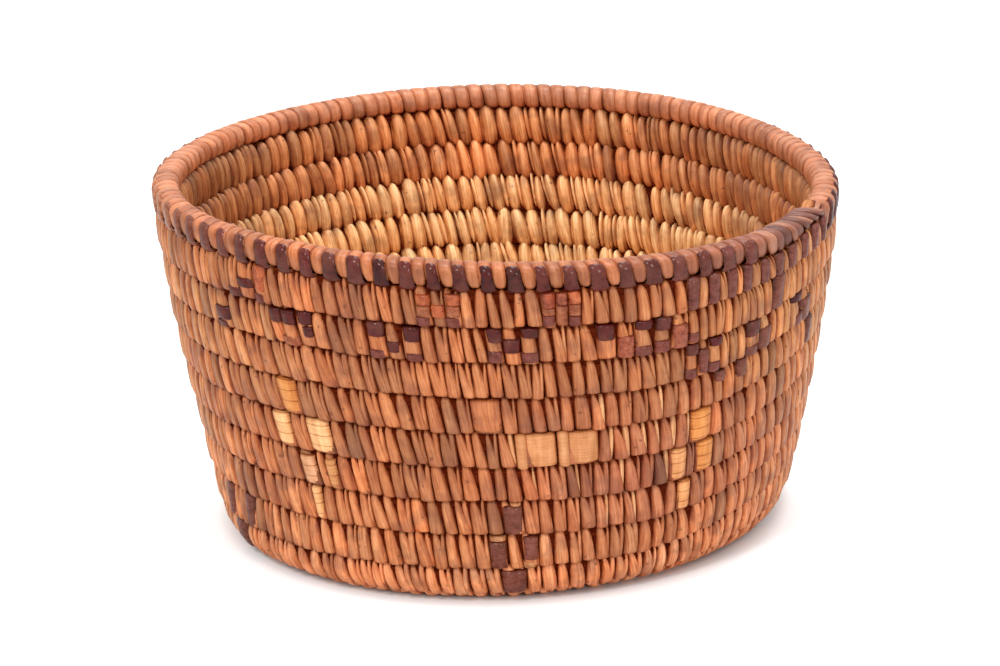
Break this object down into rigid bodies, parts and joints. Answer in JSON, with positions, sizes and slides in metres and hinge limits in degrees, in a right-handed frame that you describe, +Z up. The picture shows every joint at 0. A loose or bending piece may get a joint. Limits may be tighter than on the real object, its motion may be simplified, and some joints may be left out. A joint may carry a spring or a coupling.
{
  "type": "coiled basket",
  "caption": "Round open coiled basket with a flat base and flaring wall, sewn turn by turn over a fibre bundle, with folded bark and grass tabs as a pattern.",
  "frame": {"origin": "middle of the underside, on the surface that the basket stands on", "axes": "+Z up, out of the mouth; -Y towards the front, where the coil ends to the right"},
  "size_m": [0.2208, 0.2209, 0.1177],
  "materials": {
    "foundation_root": "dry fibrous bundle, matt",
    "sewing_root": "split root, satin",
    "rim_root": "split root, handled, satin",
    "dark_bark": "smooth bark, glossy",
    "red_bark": "smooth bark, glossy",
    "pale_grass": "split grass, satin",
    "tan_grass": "split grass, satin"
  },
  "bodies": {
    "root": {"base_starting_knot": "sewing_root", "base_stitching_1": "sewing_root", "base_stitching_2": "sewing_root", "base_stitching_3": "sewing_root", "base_stitching_4": "sewing_root", "base_stitching_5": "sewing_root", "base_stitching_6": "sewing_root", "dark_check_1": "dark_bark", "dark_check_2": "dark_bark", "dark_check_3": "dark_bark", "dark_check_4": "dark_bark", "dark_check_5": "dark_bark", "dark_check_6": "dark_bark", "dark_check_7": "dark_bark", "dark_check_8": "dark_bark", "dark_diamond_tab_1": "dark_bark", "dark_diamond_tab_2": "dark_bark", "dark_diamond_tab_3": "dark_bark", "dark_diamond_tab_4": "dark_bark", "dark_diamond_tab_5": "dark_bark", "dark_diamond_tab_6": "dark_bark", "dark_diamond_tab_7": "dark_bark", "foundation_coil": "foundation_root", "pale_diamond_tab_1": "pale_grass", "pale_diamond_tab_10": "pale_grass", "pale_diamond_tab_2": "pale_grass", "pale_diamond_tab_3": "pale_grass", "pale_diamond_tab_4": "pale_grass", "pale_diamond_tab_5": "pale_grass", "pale_diamond_tab_6": "pale_grass", "pale_diamond_tab_7": "pale_grass", "pale_diamond_tab_8": "pale_grass", "pale_diamond_tab_9": "pale_grass", "red_tab_1": "red_bark", "red_tab_2": "red_bark", "red_tab_3": "red_bark", "red_tab_4": "red_bark", "red_tab_5": "red_bark", "red_tab_6": "red_bark", "red_tab_7": "red_bark", "red_tab_8": "red_bark", "red_tab_9": "red_bark", "rim_beading_strip": "dark_bark", "rim_overcasting": "rim_root", "wall_stitching_1": "sewing_root", "wall_stitching_2": "sewing_root", "wall_stitching_3": "sewing_root", "wall_stitching_4": "sewing_root", "wall_stitching_5": "sewing_root", "wall_stitching_6": "sewing_root", "wall_stitching_7": "sewing_root", "wall_stitching_8": "sewing_root", "wall_stitching_9": "sewing_root", "wide_plate_1": "tan_grass", "wide_plate_2": "tan_grass", "wide_plate_3": "tan_grass"}
  },
  "joints": []
}
